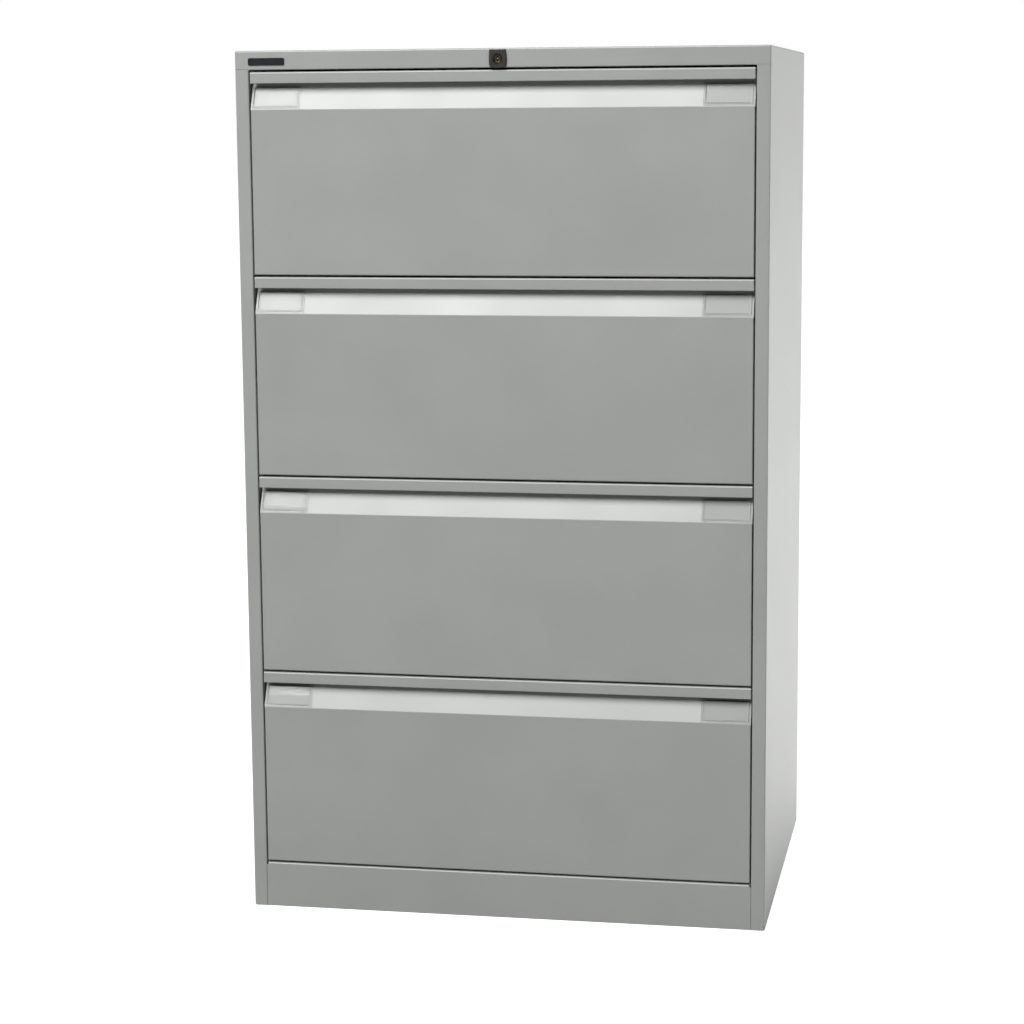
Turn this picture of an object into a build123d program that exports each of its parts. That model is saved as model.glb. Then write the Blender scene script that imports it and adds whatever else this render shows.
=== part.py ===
from build123d import *
import math
import os

# Double-width filing cabinet with flush drawer fronts, in millimetres.
# The origin is the middle of the carcase's footprint, on the floor.
# +X is to the right seen from the front, +Y runs to the back and +Z up.

# Driving dimensions
WIDTH = 800.0
DEPTH = 622.0
HEIGHT = 1321.0
DRAWERS = 4
PITCH = 304.8  # twelve inches from one drawer to the next
PLINTH_TOP = 70.5
GAP = 3.0  # above and below each drawer front
SIDE_GAP = 2.0
STILE_WIDTH = 21.0
SHEET = 1.0
UPRIGHT_SHEET = 1.5
RUNNER_SHEET = 1.2

# Carcase
RIGHT = WIDTH / 2
FRONT = -DEPTH / 2
BACK = DEPTH / 2
INSIDE = RIGHT - SHEET
STILE_EDGE = RIGHT - STILE_WIDTH
STILE_RETURN_END = FRONT + 25.0
REAR_FLANGE = 15.0
CORNER_BEND = 2.5
LIP_BOTTOM = PLINTH_TOP + DRAWERS * PITCH + GAP
STILE_TOP = LIP_BOTTOM + 0.6
LIP_END_BOTTOM = LIP_BOTTOM + 1.0
LID_EDGE = HEIGHT - 2.7  # where the lid's turned-down edge meets the side panel
SEAM = 0.1
BASE_TOP = PLINTH_TOP - SHEET
FOOT_FLANGE_TOP = 15.0
FOOT_FLANGE_WIDTH = 30.0
FOOT_HOLE_RADIUS = 4.3
FOOT_X = 384.0
FOOT_Y = (-255.0, 275.0)
UPRIGHT_Y = ((-262.0, -232.0), (222.0, 252.0))
UPRIGHT_TOP = 1290.0

# Drawer, with heights counted from the bottom edge of its front
FRONT_HALF = STILE_EDGE - SIDE_GAP
FRONT_HEIGHT = PITCH - GAP
FRONT_REAR = FRONT + 24.0  # back edge of the front's turned sides
STRIP_BOTTOM = FRONT_HEIGHT - 17.0
SLOPE_BOTTOM = FRONT_HEIGHT - 55.5
SLOPE_RUN = 16.0  # how far the slope goes back by the level of the strip's lower edge
HEM = 2.1
TRAY_BASE = 4.0
TRAY_TOP = 258.0
TRAY_REAR = 266.0
RAIL_SHELF = 240.0
RAIL_TOP = 254.0
RAIL_X = 340.0
CENTRE_RAIL_HALF = 10.0
RUNNER_Z = 120.0
CATCH_Z = 230.0

# Runners: distances from the upright's face and from the runner's middle line
RUNNER_THICK = 12.7
RUNNER_FRONT = -284.0
RUNNER_LENGTH = 550.0
OUTER_HALF = 23.0
MIDDLE_HALF = 18.0
INNER_HALF = 13.0
TRAY_HALF = STILE_EDGE - RUNNER_THICK
SCREW_RADIUS = 2.4
SCREW_HEAD_RADIUS = 4.2
SCREW_HEAD_THICK = 0.6

# Label holders
HOLDER_LENGTH = 74.0
HOLDER_FROM_END = 1.0
HOLDER_TOP = 37.0  # measured up the slope
HOLDER_BASE = 0.9
HOLDER_FACE = 3.2

# Lock
LOCK_Z = 1305.0
LOCK_CRANK = 10.0
LOCK_THROW = 2 * LOCK_CRANK * math.sin(math.radians(45))
PLUG_RADIUS = 6.8
HOUSING_RADIUS = 9.3
CAM_FRONT = -287.0
BAR_FRONT = -281.0
BAR_THICK = 2.0
TRANSFER_FRONT = -278.4
PIN_END = -275.6
BAR_LEFT = -396.0
BAR_RIGHT = -384.0
BAR_PIN_X = -376.0
BAR_PIN_Z = 1301.0
HOOK_TIP = -369.5
HOOK_HEIGHT = 14.0
HOOK_DROP = 1.5  # clear height between an unlocked hook and the catch
CATCH_HALF = 6.0
CATCH_TIP = -376.0
CATCH_FRONT = -277.0

parts = {}


def drawer_bottom(number):
    """Height of a drawer front's bottom edge; drawer 1 is the top one."""
    return PLINTH_TOP + GAP + (DRAWERS - number) * PITCH


def block(x_range, y_range, z_range):
    """Box between two corners."""
    size = [high - low for low, high in (x_range, y_range, z_range)]
    centre = [(high + low) / 2 for low, high in (x_range, y_range, z_range)]
    return Pos(*centre) * Box(*size)


def along_x(section, x_low, x_high):
    """Section drawn in Y and Z, extruded along X."""
    return extrude(Plane.YZ.offset(x_low) * section, amount=x_high - x_low)


def along_y(section, y_low, y_high):
    """Section drawn in X and Z, extruded along Y."""
    return extrude(Plane.XZ.offset(-y_low) * section, amount=y_low - y_high)


def along_z(section, z_low, z_high):
    """Section drawn in X and Y, extruded along Z."""
    return extrude(Plane.XY.offset(z_low) * section, amount=z_high - z_low)


def rod_x(radius, x_low, x_high, y, z):
    return along_x(Pos(y, z) * Circle(radius), x_low, x_high)


def rod_y(radius, y_low, y_high, x, z):
    return along_y(Pos(x, z) * Circle(radius), y_low, y_high)


def rod_z(radius, z_low, z_high, x, y):
    return along_z(Pos(x, y) * Circle(radius), z_low, z_high)


def mirrored(shape):
    """The same piece on the other side of the cabinet."""
    return mirror(shape, about=Plane.YZ)


def sheet_section(path, bends, thickness=SHEET):
    """Folded sheet seen end on. The path follows one face and the metal lies on its right.

    The bends are radii on the path's own face, one for each corner.
    """
    points = [Vector(*point) for point in path]
    runs = [(b - a).normalized() for a, b in zip(points, points[1:])]
    rights = [Vector(run.Y, -run.X) for run in runs]
    other = [points[0] + rights[0] * thickness]
    other_bends = []
    for index, radius in enumerate(bends):
        turn = runs[index].X * runs[index + 1].Y - runs[index].Y * runs[index + 1].X
        mitre = (rights[index] + rights[index + 1]) / (1 + rights[index].dot(rights[index + 1]))
        other.append(points[index + 1] + mitre * thickness)
        other_bends.append(radius + thickness if turn > 0 else max(radius - thickness, 0))
    other.append(points[-1] + rights[-1] * thickness)
    outline = points + other[::-1]
    radii = [0, *bends, 0, 0, *other_bends[::-1], 0]
    return make_face(FilletPolyline(*outline, radius=radii, close=True))


def slope_offset(height):
    """How far the slope lies behind the drawer's face at a height."""
    return (height - SLOPE_BOTTOM) * SLOPE_RUN / (STRIP_BOTTOM - SLOPE_BOTTOM)


# ---------------------------------------------------------------- carcase


def side_panel():
    """Right side: web, front stile with its return, rear flange and a flange for the feet."""
    path = [
        (RIGHT - REAR_FLANGE, BACK),
        (RIGHT, BACK),
        (RIGHT, FRONT),
        (STILE_EDGE, FRONT),
        (STILE_EDGE, STILE_RETURN_END),
    ]
    panel = along_z(sheet_section(path, [CORNER_BEND, CORNER_BEND, 2.0]), 0, LID_EDGE - SEAM)
    above_stile = (STILE_TOP, HEIGHT)
    panel -= block((STILE_EDGE - 1, RIGHT + 1), (FRONT - 1, FRONT + CORNER_BEND + SEAM), above_stile)
    panel -= block((STILE_EDGE - 1, INSIDE - SEAM), (FRONT - 1, STILE_RETURN_END + 1), above_stile)
    # the stile's foot is rounded where it meets the side
    corner = 3.0
    foot = block((RIGHT - corner, RIGHT + 1), (FRONT - 1, FRONT + corner), (-1, corner))
    foot -= rod_y(corner, FRONT - 1, FRONT + corner, RIGHT - corner, corner)
    panel -= foot
    flange = block(
        (INSIDE - FOOT_FLANGE_WIDTH, INSIDE),
        (STILE_RETURN_END + 2, BACK - 3),
        (FOOT_FLANGE_TOP - SHEET, FOOT_FLANGE_TOP),
    )
    for y in FOOT_Y:
        flange -= rod_z(FOOT_HOLE_RADIUS, 0, 2 * FOOT_FLANGE_TOP, FOOT_X, y)
    return panel + flange


def rounded_lid(inset, bottom, bend):
    """Solid block with its standing corners and top edges rounded."""
    lid = block(
        (-RIGHT + inset, RIGHT - inset), (FRONT + inset, BACK - inset), (bottom, HEIGHT - inset)
    )
    lid = fillet(lid.edges().filter_by(Axis.Z), bend)
    return fillet(lid.faces().sort_by(Axis.Z)[-1].edges(), bend)


def top_panel():
    """Lid with a deep front lip that runs across both stiles."""
    lid = rounded_lid(0, LIP_BOTTOM, CORNER_BEND)
    lid -= rounded_lid(SHEET, LIP_BOTTOM - 5, CORNER_BEND - SHEET)
    below_edge = (LIP_BOTTOM - 1, LID_EDGE)
    below_lip = (LIP_BOTTOM - 1, LIP_END_BOTTOM)
    for side in (-1, 1):
        over_side = sorted((side * (INSIDE - SEAM), side * (RIGHT + 1)))
        over_flange = sorted((side * (RIGHT - REAR_FLANGE - SEAM), side * (RIGHT + 1)))
        over_stile = sorted((side * STILE_EDGE, side * (RIGHT + 1)))
        lid -= block(over_side, (FRONT + CORNER_BEND, BACK + 1), below_edge)
        lid -= block(over_flange, (BACK - 2, BACK + 1), below_edge)
        lid -= block(over_side, (FRONT - 1, FRONT + 10), below_lip)
        lid -= block(over_stile, (FRONT - 1, FRONT + 5), below_lip)
    # the lip's lower edge is turned back between the stiles
    turn = LIP_BOTTOM + 4
    lid -= block((-FRONT_HALF, FRONT_HALF), (FRONT - 1, FRONT + 2), (LIP_BOTTOM - 1, turn))
    path = [(FRONT + 15, LIP_BOTTOM), (FRONT, LIP_BOTTOM), (FRONT, turn)]
    lid += along_x(sheet_section(path, [1.5]), -FRONT_HALF, FRONT_HALF)
    return lid - rod_y(HOUSING_RADIUS + 0.2, FRONT - 1, FRONT + 5, 0, LOCK_Z)


def back_panel():
    """Flat sheet inside the rear flanges."""
    half = INSIDE - CORNER_BEND
    return block((-half, half), (BACK - 2 * SHEET, BACK - SHEET), (FOOT_FLANGE_TOP + 1, HEIGHT - 4))


def base_panel():
    """Floor of the carcase, with a stiffening flange turned down at the front and back."""
    front = STILE_RETURN_END + 1
    rear = BACK - 2 * SHEET - 1
    path = [(front, BASE_TOP - 20), (front, BASE_TOP), (rear, BASE_TOP), (rear, BASE_TOP - 20)]
    return along_x(sheet_section(path, [2.0, 2.0]), -INSIDE, INSIDE)


def plinth_panel():
    """Kick panel between the stiles, turned back at the top and the bottom."""
    half = STILE_EDGE - 0.3
    path = [(FRONT + 18, 0), (FRONT, 0), (FRONT, PLINTH_TOP), (FRONT + 41, PLINTH_TOP)]
    panel = along_x(sheet_section(path, [1.5, 2.5]), -half, half)
    # relief notches at the ends of the top bend
    for x_range in ((-half - 1, -half + 2.2), (half - 2.2, half + 1)):
        panel -= block(x_range, (FRONT - 1, FRONT + 5), (PLINTH_TOP - 3.2, PLINTH_TOP + 1))
    return panel


def runner_uprights():
    """Two channels on the right side that carry the runners."""
    channels = []
    for front, rear in UPRIGHT_Y:
        path = [(INSIDE, front), (STILE_EDGE, front), (STILE_EDGE, rear), (INSIDE, rear)]
        channel = along_z(sheet_section(path, [2.0, 2.0], UPRIGHT_SHEET), BASE_TOP, UPRIGHT_TOP)
        for number in range(1, DRAWERS + 1):
            height = drawer_bottom(number) + RUNNER_Z
            channel -= rod_x(SCREW_RADIUS + 0.1, STILE_EDGE - 1, STILE_EDGE + 4, (front + rear) / 2, height)
        channels.append(channel)
    return channels


def levelling_foot(x, y):
    """Glide disc with its stud and nut."""
    foot = rod_z(12, 0, 5, x, y) + rod_z(4, 5, 45, x, y)
    hexagon = Pos(x, y) * RegularPolygon(13 / 2, 6, major_radius=False)
    return foot + along_z(hexagon, FOOT_FLANGE_TOP, FOOT_FLANGE_TOP + 6.5)


def blank_badge():
    """Small plain plate at the left end of the lip."""
    outline = Pos(-351.5, 1304.6) * RectangleRounded(56, 11, 2.5)
    plate = along_y(outline, FRONT - 1.2, FRONT)
    return chamfer(plate.faces().sort_by(Axis.Y)[0].edges(), 0.5)


# ---------------------------------------------------------------- runners


def runner_section(depth_low, depth_high, half, open_side):
    """Channel section; depth is counted from the upright's face towards the drawer."""
    if open_side == "drawer":
        path = [(depth_high, -half), (depth_low, -half), (depth_low, half), (depth_high, half)]
    else:
        path = [(depth_low, half), (depth_high, half), (depth_high, -half), (depth_low, -half)]
    return sheet_section(path, [2.0, 2.0], RUNNER_SHEET)


def runner_member(section, y_low, y_high, height):
    """Right-hand runner member."""
    plane = Plane(origin=(STILE_EDGE, y_low, height), x_dir=(-1, 0, 0), z_dir=(0, 1, 0))
    return extrude(plane * section, amount=y_high - y_low)


def runner_outer(height):
    """Fixed member, with holes for its screws."""
    member = runner_member(
        runner_section(0, 12.0, OUTER_HALF, "drawer"), RUNNER_FRONT, RUNNER_FRONT + RUNNER_LENGTH, height
    )
    for front, rear in UPRIGHT_Y:
        member -= rod_x(SCREW_RADIUS + 0.1, STILE_EDGE - 3, STILE_EDGE + 1, (front + rear) / 2, height)
    return member


def runner_middle(height):
    """Member between the other two, with balls running on both sides of its flanges."""
    section = runner_section(2.2, 11.6, MIDDLE_HALF, "drawer")
    return runner_member(section, RUNNER_FRONT + 2, RUNNER_FRONT + RUNNER_LENGTH - 4, height)


def runner_inner(height):
    """Member fixed to the tray."""
    section = runner_section(4.4, RUNNER_THICK, INNER_HALF, "cabinet")
    return runner_member(section, RUNNER_FRONT, RUNNER_FRONT + RUNNER_LENGTH - 2, height)


def runner_screw(y, height):
    """Low-head screw through the outer member and the upright."""
    face = STILE_EDGE - RUNNER_SHEET
    screw = rod_x(SCREW_RADIUS, face, STILE_EDGE + 5, y, height)
    return screw + rod_x(SCREW_HEAD_RADIUS, face - SCREW_HEAD_THICK, face, y, height)


# ---------------------------------------------------------------- drawer


def drawer_front(bottom):
    """One sheet: panel, slope, the recess behind the strip, and the strip with a hemmed lower edge."""
    ceiling = FRONT_HEIGHT - SHEET
    path = [
        (FRONT_REAR, 0),
        (FRONT, 0),
        (FRONT, SLOPE_BOTTOM),
        (FRONT + slope_offset(ceiling), ceiling),
        (FRONT + SHEET, ceiling),
        (FRONT + SHEET, STRIP_BOTTOM + HEM / 2),
    ]
    section = sheet_section(path, [2.0, 3.5, 1.0, 1.5])
    section += Pos(FRONT + HEM / 2, STRIP_BOTTOM + 4.5) * RectangleRounded(HEM, 9.0, HEM / 2 - 0.02)
    front = along_x(section, -FRONT_HALF, FRONT_HALF)
    side_height = (SHEET, SLOPE_BOTTOM - 3.0)
    for side in (-1, 1):
        x_range = sorted((side * FRONT_HALF, side * (FRONT_HALF - SHEET)))
        front += block(x_range, (FRONT + SHEET / 2, FRONT_REAR), side_height)
        # the standing bends of the panel
        bend = 1.6
        corner = sorted((side * (FRONT_HALF - bend), side * (FRONT_HALF + 1)))
        sliver = block(corner, (FRONT - 1, FRONT + bend), (-1, SLOPE_BOTTOM - 2.0))
        front -= sliver - rod_z(bend, -1, SLOPE_BOTTOM - 2.0, side * (FRONT_HALF - bend), FRONT + bend)
    return Pos(0, 0, bottom) * front


def drawer_inner_panel(bottom):
    """Flat sheet that closes the back of the drawer front."""
    half = FRONT_HALF - SHEET
    return block((-half, half), (FRONT_REAR, FRONT_REAR + SHEET), (bottom + 0.5, bottom + 299))


def drawer_tray(bottom):
    """Two sides with flanges at the top and bottom, and a base and a back welded to them."""
    turned = 12.0
    under = TRAY_BASE - SHEET
    path = [
        (TRAY_HALF - turned, TRAY_TOP),
        (TRAY_HALF, TRAY_TOP),
        (TRAY_HALF, under),
        (TRAY_HALF - turned, under),
    ]
    front = FRONT_REAR + SHEET
    side = Pos(0, 0, bottom) * along_y(sheet_section(path, [2.0, 2.0]), front, TRAY_REAR)
    # the base stops where the sides' lower bends begin
    base_half = TRAY_HALF - 2.0
    base_top = bottom + TRAY_BASE + SHEET
    base = block((-base_half, base_half), (front, TRAY_REAR), (base_top - SHEET, base_top))
    inner = TRAY_HALF - SHEET
    back_height = (base_top, bottom + TRAY_TOP - 2 * SHEET)
    back = block((-inner, inner), (TRAY_REAR - SHEET, TRAY_REAR), back_height)
    return [mirrored(side), base, back, side]


def file_rails(bottom):
    """Side rails folded from strip, and a channel down the middle, for two rows of hanging files."""
    wall = TRAY_HALF - SHEET
    side_path = [
        (wall, RAIL_SHELF - 15),
        (wall, RAIL_SHELF),
        (RAIL_X, RAIL_SHELF),
        (RAIL_X, RAIL_TOP),
    ]
    side = sheet_section(side_path[::-1], [1.5, 1.5])
    half = CENTRE_RAIL_HALF
    centre_path = [(half, RAIL_TOP), (half, RAIL_SHELF), (-half, RAIL_SHELF), (-half, RAIL_TOP)]
    centre = sheet_section(centre_path, [1.5, 1.5])
    ends = (FRONT_REAR + SHEET, TRAY_REAR - SHEET)
    right = Pos(0, 0, bottom) * along_y(side, *ends)
    middle = Pos(0, 0, bottom) * along_y(centre, *ends)
    return [mirrored(right), middle, right]


def label_holder(bottom, left_end):
    """Clear holder lying on the slope, with a slot that a card slides into from the inner end."""
    rise = math.atan2(STRIP_BOTTOM - SLOPE_BOTTOM, SLOPE_RUN)
    plane = Plane(
        origin=(left_end, FRONT, bottom + SLOPE_BOTTOM),
        x_dir=(1, 0, 0),
        z_dir=(0, -math.sin(rise), math.cos(rise)),
    )
    base = block((0, HOLDER_LENGTH), (1.6, HOLDER_TOP), (0, HOLDER_BASE))
    low, high = 3.6, HOLDER_TOP - 2
    crown = [
        Line((low, 0), (low, HOLDER_FACE - 0.8)),
        ThreePointArc((low, HOLDER_FACE - 0.8), ((low + high) / 2, HOLDER_FACE), (high, HOLDER_FACE - 0.8)),
        Line((high, HOLDER_FACE - 0.8), (high, 0)),
        Line((high, 0), (low, 0)),
    ]
    window = along_x(make_face(crown), 0, HOLDER_LENGTH)
    ends = Polygon((2.0, 0), (HOLDER_LENGTH - 2.0, 0), (HOLDER_LENGTH - 5.0, 4), (5.0, 4), align=None)
    window &= along_y(ends, 0, HOLDER_TOP)
    holder = base + window
    slot_low, slot_high = 1.1, 1.9
    card_slot = (6.0, HOLDER_LENGTH + 1) if left_end < 0 else (-1, HOLDER_LENGTH - 6.0)
    holder -= block(card_slot, (low + 1.5, high - 1.5), (slot_low, slot_high))
    return plane * holder


def lock_catch(bottom):
    """Angle on the tray's left side that the lock bar's hook stops."""
    wall = -TRAY_HALF
    path = [(wall, CATCH_FRONT + 22), (wall, CATCH_FRONT), (CATCH_TIP, CATCH_FRONT)]
    centre = bottom + CATCH_Z
    return along_z(sheet_section(path, [1.5], 1.2), centre - CATCH_HALF, centre + CATCH_HALF)


# ---------------------------------------------------------------- lock


def lock_bezel():
    """Moulded surround with bowed sides, over the lock's hole in the lip."""
    top, bottom, half_top, half_middle, half_bottom = 14.0, -12.6, 11.8, 13.0, 11.9
    outline = [
        Line((-half_top, top), (half_top, top)),
        ThreePointArc((half_top, top), (half_middle, 0), (half_bottom, bottom)),
        ThreePointArc((half_bottom, bottom), (0, bottom - 0.5), (-half_bottom, bottom)),
        ThreePointArc((-half_bottom, bottom), (-half_middle, 0), (-half_top, top)),
    ]
    face = make_face(outline)
    face = fillet(face.vertices().sort_by(Axis.Y)[:2], 4.5)
    bezel = along_y(Pos(0, LOCK_Z) * face, FRONT - 3.6, FRONT)
    bezel = fillet(bezel.faces().sort_by(Axis.Y)[0].edges(), 1.0)
    bezel -= rod_y(8.3, FRONT - 4, FRONT - 2.8, 0, LOCK_Z)
    return bezel - rod_y(PLUG_RADIUS + 0.3, FRONT - 4, FRONT + 1, 0, LOCK_Z)


def lock_housing():
    """Sleeve that the cylinder turns in."""
    sleeve = rod_y(HOUSING_RADIUS, FRONT, CAM_FRONT - 1, 0, LOCK_Z)
    return sleeve - rod_y(PLUG_RADIUS + 0.05, FRONT - 1, CAM_FRONT, 0, LOCK_Z)


def lock_nut():
    """Nut that clamps the housing behind the lip."""
    outline = Pos(0, LOCK_Z) * RegularPolygon(10.6, 6, major_radius=False)
    nut = along_y(outline, FRONT + SHEET, FRONT + SHEET + 4)
    return nut - rod_y(HOUSING_RADIUS, FRONT, FRONT + 6, 0, LOCK_Z)


def lock_cylinder():
    """Plug with a keyway."""
    plug = rod_y(PLUG_RADIUS, FRONT - 2.6, CAM_FRONT, 0, LOCK_Z)
    plug = chamfer(plug.faces().sort_by(Axis.Y)[0].edges(), 0.5)
    return plug - block((-0.9, 0.9), (FRONT - 4, FRONT + 14), (LOCK_Z - 4.2, LOCK_Z + 4.2))


def lock_cam():
    """Cam plate behind the cylinder, with the crank pin that drives the transfer bar."""
    pin_x = -LOCK_CRANK * math.sin(math.radians(45))
    pin_z = LOCK_Z + LOCK_CRANK * math.cos(math.radians(45))
    rear = CAM_FRONT + 2.5
    arm = Pos(pin_x / 2, (LOCK_Z + pin_z) / 2) * Rot(0, 0, 135) * Rectangle(LOCK_CRANK, 7)
    cam = along_y(arm, CAM_FRONT, rear)
    cam += rod_y(6.5, CAM_FRONT, rear, 0, LOCK_Z)
    cam += rod_y(3.5, CAM_FRONT, rear, pin_x, pin_z)
    return cam + rod_y(2.0, rear, PIN_END, pin_x, pin_z)


def lock_transfer_bar():
    """Flat bar that the cam pushes sideways; a slanted slot at its left end lifts the lock bar."""
    rear = TRANSFER_FRONT + BAR_THICK
    crank = LOCK_CRANK * math.sin(math.radians(45))
    bar = block((BAR_PIN_X, -crank), (TRANSFER_FRONT, rear), (1300, 1312))
    bar += block((-crank - 9, -crank + 9), (TRANSFER_FRONT, rear), (1300, 1319.2))
    bar += block((BAR_PIN_X - LOCK_THROW - 5, BAR_PIN_X + 6), (TRANSFER_FRONT, rear), (1296.4, 1319.4))
    crank_slot = Pos(-crank, 1313.5) * Rot(0, 0, 90) * SlotOverall(8.2, 5.2)
    lift_slot = Pos(BAR_PIN_X - LOCK_THROW / 2, BAR_PIN_Z + LOCK_THROW / 2) * Rot(0, 0, 135)
    lift_slot *= SlotCenterToCenter(LOCK_THROW * math.sqrt(2), 4.2)
    for slot in (crank_slot, lift_slot):
        bar -= along_y(slot, TRANSFER_FRONT - 1, rear + 1)
    return bar


def lock_bar():
    """Upright bar behind the left stile, with a hook for each drawer and a pin at the top."""
    rear = BAR_FRONT + BAR_THICK
    bar = block((BAR_LEFT, BAR_RIGHT), (BAR_FRONT, rear), (100, BAR_PIN_Z + 4))
    bar += block((BAR_LEFT, BAR_PIN_X + 5), (BAR_FRONT, rear), (BAR_PIN_Z - 4, BAR_PIN_Z + 4))
    for number in range(1, DRAWERS + 1):
        top = drawer_bottom(number) + CATCH_Z - CATCH_HALF - HOOK_DROP
        bar += block((BAR_RIGHT - 1, HOOK_TIP), (BAR_FRONT, rear), (top - HOOK_HEIGHT, top))
    return bar + rod_y(1.6, rear, PIN_END, BAR_PIN_X, BAR_PIN_Z)


def lock_guides():
    """Guide blocks: three on the left side panel, two under the lid."""
    guides = []
    for height in (260, 720, 1120):
        guide = block((-INSIDE, BAR_RIGHT + 4), (BAR_FRONT - 3, BAR_FRONT + 5), (height - 12, height + 12))
        bar_way = block(
            (BAR_LEFT - 0.5, BAR_RIGHT + 0.5), (BAR_FRONT - 0.4, BAR_FRONT + 2.4), (height - 13, height + 13)
        )
        guides.append(guide - bar_way)
    for x in (-290, -60):
        guide = block((x - 8, x + 8), (TRANSFER_FRONT - 2.4, TRANSFER_FRONT + 4.4), (1297, HEIGHT - SHEET))
        bar_way = block(
            (x - 9, x + 9), (TRANSFER_FRONT - 0.4, TRANSFER_FRONT + BAR_THICK + 0.4), (1299.5, 1312.5)
        )
        guides.append(guide - bar_way)
    return guides


# ---------------------------------------------------------------- assembly


def build():
    parts["side_panel_right"] = side_panel()
    parts["side_panel_left"] = mirrored(parts["side_panel_right"])
    parts["top_panel"] = top_panel()
    parts["back_panel"] = back_panel()
    parts["base_panel"] = base_panel()
    parts["plinth_panel"] = plinth_panel()
    uprights = runner_uprights()
    parts["runner_uprights_right"] = uprights
    parts["runner_uprights_left"] = [mirrored(channel) for channel in uprights]
    parts["levelling_feet"] = [levelling_foot(x, y) for x in (-FOOT_X, FOOT_X) for y in FOOT_Y]
    parts["blank_badge"] = blank_badge()
    screws = []
    for number in range(1, DRAWERS + 1):
        bottom = drawer_bottom(number)
        height = bottom + RUNNER_Z
        for name, make in (("outer", runner_outer), ("middle", runner_middle), ("inner", runner_inner)):
            member = make(height)
            parts[f"runner_{name}_{number}"] = [mirrored(member), member]
        for front, rear in UPRIGHT_Y:
            screw = runner_screw((front + rear) / 2, height)
            screws += [mirrored(screw), screw]
        parts[f"drawer_front_{number}"] = drawer_front(bottom)
        parts[f"drawer_inner_panel_{number}"] = drawer_inner_panel(bottom)
        parts[f"drawer_tray_{number}"] = drawer_tray(bottom)
        parts[f"file_rails_{number}"] = file_rails(bottom)
        parts[f"lock_catch_{number}"] = lock_catch(bottom)
        left_end = -FRONT_HALF + HOLDER_FROM_END
        parts[f"label_holder_left_{number}"] = label_holder(bottom, left_end)
        parts[f"label_holder_right_{number}"] = label_holder(bottom, -left_end - HOLDER_LENGTH)
    parts["runner_screws"] = screws
    parts["lock_bezel"] = lock_bezel()
    parts["lock_housing"] = lock_housing()
    parts["lock_nut"] = lock_nut()
    parts["lock_cylinder"] = lock_cylinder()
    parts["lock_cam"] = lock_cam()
    parts["lock_transfer_bar"] = lock_transfer_bar()
    parts["lock_bar"] = lock_bar()
    parts["lock_guides"] = lock_guides()


def write_parts():
    os.makedirs("parts", exist_ok=True)
    for name, shape in parts.items():
        solids = [piece.solid() for piece in shape] if isinstance(shape, list) else [shape.solid()]
        export_step(Compound(solids), f"parts/{name}.step")


build()
write_parts()
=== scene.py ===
import math

import bmesh
import bpy
from mathutils import Matrix, Vector


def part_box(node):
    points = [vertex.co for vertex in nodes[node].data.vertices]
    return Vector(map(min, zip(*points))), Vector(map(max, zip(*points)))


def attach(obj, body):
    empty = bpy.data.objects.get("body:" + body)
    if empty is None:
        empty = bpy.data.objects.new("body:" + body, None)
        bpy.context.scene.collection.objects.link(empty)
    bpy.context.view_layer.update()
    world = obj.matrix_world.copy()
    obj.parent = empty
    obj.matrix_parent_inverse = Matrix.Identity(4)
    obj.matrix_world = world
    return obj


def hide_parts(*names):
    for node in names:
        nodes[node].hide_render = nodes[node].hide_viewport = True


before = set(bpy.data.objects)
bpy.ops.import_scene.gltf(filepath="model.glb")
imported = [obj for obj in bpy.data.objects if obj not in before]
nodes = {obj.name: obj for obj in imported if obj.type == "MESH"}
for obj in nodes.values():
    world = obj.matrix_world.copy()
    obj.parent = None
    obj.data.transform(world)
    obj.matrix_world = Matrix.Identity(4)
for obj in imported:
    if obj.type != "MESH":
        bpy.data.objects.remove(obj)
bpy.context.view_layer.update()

# Four-drawer steel filing cabinet: finishes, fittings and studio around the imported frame.
# Lengths are in metres; MM turns a maker's millimetres into them.

MM = 0.001
DRAWERS = (1, 2, 3, 4)
SIDES = (("left", -1), ("right", 1))
RUNNER_SHEET = 1.2 * MM
LOCK_HEIGHT = 1305.0 * MM
scene = bpy.context.scene
box = {name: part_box(name) for name in nodes}


# ---------------------------------------------------------------- finishes

# a wave texture repeats after this much of its own scaled length
WAVE_LENGTH = 2 * math.pi / 20


def linear(code):
    """An sRGB hex colour as the linear colour that a shader takes."""
    levels = [int(code[i : i + 2], 16) / 255 for i in (0, 2, 4)]
    curved = [v / 12.92 if v <= 0.04045 else ((v + 0.055) / 1.055) ** 2.4 for v in levels]
    return (*curved, 1.0)


def per_size(millimetres):
    """Texture scale whose features are about this many millimetres across."""
    return 1.0 / (millimetres * MM)


def add(tree, kind, settings=None, links=None):
    """Adds one node to a tree.

    Settings name its own values, its sockets' values, or a ramp's stops as (position, sRGB hex).
    Links name the sockets that are fed; a node given as the source feeds its first output.
    """
    node = tree.nodes.new(kind)
    for name, value in (settings or {}).items():
        if name == "stops":
            for stop, (position, code) in zip(node.color_ramp.elements, value):
                stop.position = position
                stop.color = linear(code)
        elif isinstance(name, int) or name in node.inputs:
            node.inputs[name].default_value = value
        else:
            setattr(node, name, value)
    for name, source in (links or {}).items():
        if isinstance(source, bpy.types.Node):
            source = source.outputs[0]
        tree.links.new(source, node.inputs[name])
    return node


def start_material(name):
    """An empty material, its tree and the Object coordinates that its patterns use."""
    material = bpy.data.materials.new(name)
    material.use_nodes = True
    tree = material.node_tree
    tree.nodes.clear()
    return material, tree, add(tree, "ShaderNodeTexCoord").outputs["Object"]


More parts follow.
